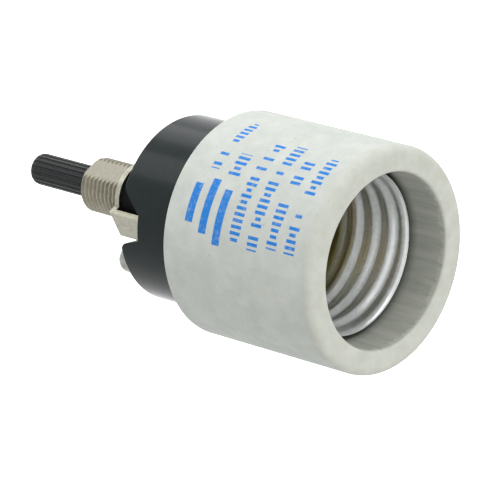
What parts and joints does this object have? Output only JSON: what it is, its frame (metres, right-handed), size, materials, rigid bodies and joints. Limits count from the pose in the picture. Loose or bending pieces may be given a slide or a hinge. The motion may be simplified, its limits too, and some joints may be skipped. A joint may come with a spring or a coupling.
{
  "type": "turn knob lamp socket",
  "caption": "Porcelain screw-in lamp socket with a turn knob switch shaft, black switch cap and threaded mounting bushing.",
  "frame": {"origin": "on the axis, in the plane of the yoke's rear face, where the lamp's panel comes to rest round the bushing", "axes": "+Z along the axis and out of the lamp mouth, +X out of the live wire notch"},
  "size_m": [0.038, 0.038, 0.0798],
  "materials": {
    "porcelain": "matte",
    "black_phenolic": "satin",
    "black_shaft_moulding": "satin",
    "shell_aluminium": "satin",
    "plated_steel": "satin",
    "plated_bushing": "satin",
    "bright_steel": "polished",
    "spring_steel": "satin",
    "brass": "satin",
    "fibre": "matte"
  },
  "bodies": {
    "socket": {"porcelain_body": "porcelain", "screw_shell": "shell_aluminium", "center_contact": "brass", "contact_rivet": "brass", "neutral_rivet": "brass", "shell_rivet": "brass", "base_insulator": "fibre", "switch_cap": "black_phenolic", "yoke": "plated_steel", "assembly_screws": "bright_steel", "assembly_nuts": "bright_steel", "bushing": "plated_bushing", "line_terminal": "brass", "neutral_terminal": "brass", "terminal_screws": "brass", "load_strip": "brass", "detent_spring": "spring_steel"},
    "turning_shaft": {"turn_shaft": "black_shaft_moulding", "switch_rotor": "black_shaft_moulding", "contact_blade": "brass", "blade_rivets": "brass", "retaining_ring": "spring_steel", "thrust_washer": "spring_steel", "rotor_spring": "spring_steel"}
  },
  "joints": [
    {"name": "knob_turn", "type": "hinge", "parent": "socket", "child": "turning_shaft", "pos_m": [0, 0, 0], "axis": [0, 0, -1], "continuous": true}
  ]
}
